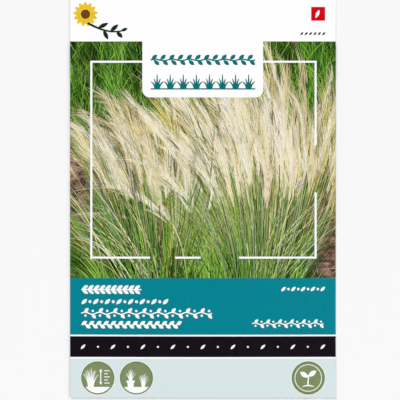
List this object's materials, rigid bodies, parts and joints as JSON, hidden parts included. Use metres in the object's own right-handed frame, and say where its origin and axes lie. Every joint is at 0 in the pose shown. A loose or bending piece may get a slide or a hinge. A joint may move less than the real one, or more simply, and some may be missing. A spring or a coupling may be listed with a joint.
{
  "type": "seed packet",
  "caption": "Sealed flat paper seed packet with a lapped back seam and folded end flaps, holding a glassine sachet of grass seed.",
  "frame": {"origin": "centre of the packet on the surface that its back lies on", "axes": "+X across the packet's width, +Y from its bottom flap to its top flap, +Z out of its printed front"},
  "size_m": [0.11, 0.165, 0.0032],
  "materials": {
    "coated_paper": "satin coated, printed",
    "adhesive": "dried paste, satin",
    "glassine": "smooth translucent paper",
    "seed_husk": "matt, ribbed"
  },
  "bodies": {
    "root": {"paper_envelope": "coated_paper", "back_seam_glue": "adhesive", "bottom_flap_glue": "adhesive", "top_flap_glue": "adhesive", "inner_sachet": "glassine", "seed_01": "seed_husk", "seed_02": "seed_husk", "seed_03": "seed_husk", "seed_04": "seed_husk", "seed_05": "seed_husk", "seed_06": "seed_husk", "seed_07": "seed_husk", "seed_08": "seed_husk", "seed_09": "seed_husk", "seed_10": "seed_husk", "seed_11": "seed_husk", "seed_12": "seed_husk", "seed_13": "seed_husk", "seed_14": "seed_husk", "seed_15": "seed_husk", "seed_16": "seed_husk", "seed_17": "seed_husk", "seed_18": "seed_husk", "seed_19": "seed_husk", "seed_20": "seed_husk", "seed_21": "seed_husk", "seed_22": "seed_husk", "seed_23": "seed_husk", "seed_24": "seed_husk", "seed_25": "seed_husk", "seed_26": "seed_husk", "seed_27": "seed_husk", "seed_28": "seed_husk", "seed_29": "seed_husk", "seed_30": "seed_husk", "seed_31": "seed_husk", "seed_32": "seed_husk", "seed_33": "seed_husk", "seed_34": "seed_husk", "seed_35": "seed_husk", "seed_36": "seed_husk", "seed_37": "seed_husk", "seed_38": "seed_husk", "seed_39": "seed_husk", "seed_40": "seed_husk"}
  },
  "joints": []
}
